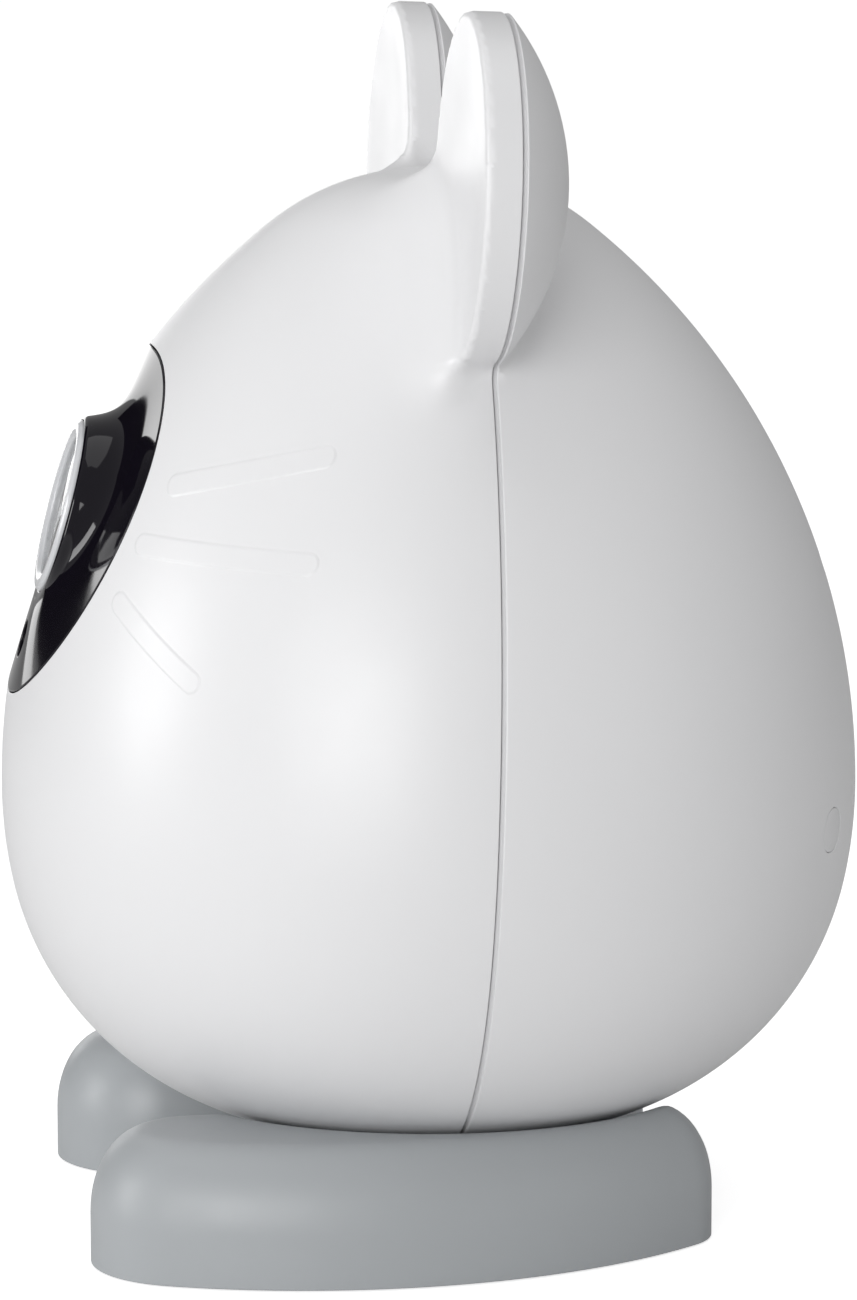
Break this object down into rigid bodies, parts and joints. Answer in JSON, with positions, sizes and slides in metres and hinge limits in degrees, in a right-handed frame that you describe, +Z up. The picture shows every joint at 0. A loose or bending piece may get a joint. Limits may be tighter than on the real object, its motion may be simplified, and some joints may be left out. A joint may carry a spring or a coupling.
{
  "type": "baby monitor camera",
  "caption": "Egg-shaped baby monitor camera with round ears, a round dark face panel with a lens, and two feet that it turns on.",
  "frame": {"origin": "on the ground under the pan axis, midway between the feet", "axes": "+Z up, the lens looks towards -Y, +X is on the right seen from the front side looking along +Y"},
  "size_m": [0.0854, 0.0854, 0.12],
  "materials": {
    "white_shell": "satin gloss moulded white",
    "grey_feet": "satin moulded cool grey",
    "black_face": "polished infrared-clear black",
    "lens_trim": "polished pale ring",
    "clear_window": "polished clear",
    "lens_glass": "coated glass",
    "black_plastic": "fine matt moulded black",
    "black_rubber": "soft matt",
    "white_rubber": "soft satin white",
    "green_board": "solder-masked board",
    "chip_black": "moulded chip",
    "shield_metal": "tinned sheet",
    "screw_steel": "plated steel",
    "magnet_metal": "plated magnet pot",
    "cone_paper": "pressed cone",
    "lamp_epoxy": "tinted epoxy",
    "socket_metal": "tinned can",
    "ribbon_film": "polyimide film",
    "hub_plastic": "low-friction moulded plastic",
    "washer_film": "friction film"
  },
  "bodies": {
    "base": {"left_foot": "grey_feet", "right_foot": "grey_feet", "base_plate": "grey_feet", "pan_socket": "hub_plastic", "friction_washer": "washer_film", "socket_screws": "screw_steel", "foot_screws": "screw_steel", "foot_pads": "black_rubber"},
    "head": {"front_shell": "white_shell", "rear_shell": "white_shell", "housing_screws": "screw_steel", "screw_plugs": "white_rubber", "face_panel": "black_face", "lens_ring": "lens_trim", "lens_window": "clear_window", "lens_gasket": "black_rubber", "lens_barrel": "black_plastic", "front_lens": "lens_glass", "rear_lens": "lens_glass", "lens_holder": "black_plastic", "image_sensor": "chip_black", "sensor_board": "green_board", "infrared_board": "green_board", "infrared_lamps": "lamp_epoxy", "light_sensor": "chip_black", "light_sensor_window": "clear_window", "speaker_frame": "black_plastic", "speaker_cone": "cone_paper", "speaker_magnet": "magnet_metal", "speaker_gasket": "black_rubber", "main_board": "green_board", "main_processor": "chip_black", "radio_shield": "shield_metal", "button_switch": "black_plastic", "radio_antenna": "green_board", "power_board": "green_board", "power_socket": "socket_metal", "microphone": "shield_metal", "sensor_ribbon": "ribbon_film", "board_screws": "screw_steel", "pan_stem": "hub_plastic", "stop_washer": "screw_steel", "pivot_screw": "screw_steel"},
    "button": {"pair_button": "white_rubber"}
  },
  "joints": [
    {"name": "pan", "type": "hinge", "parent": "base", "child": "head", "pos_m": [0, 0, 0.006], "axis": [0, 0, 1], "range_deg": [-145, 145]},
    {"name": "pair_button_press", "type": "slide", "parent": "head", "child": "button", "axis": [0, -1, 0], "range_m": [0, 0.0008], "stiffness_N_per_m": 600, "springref_m": -0.0005}
  ]
}
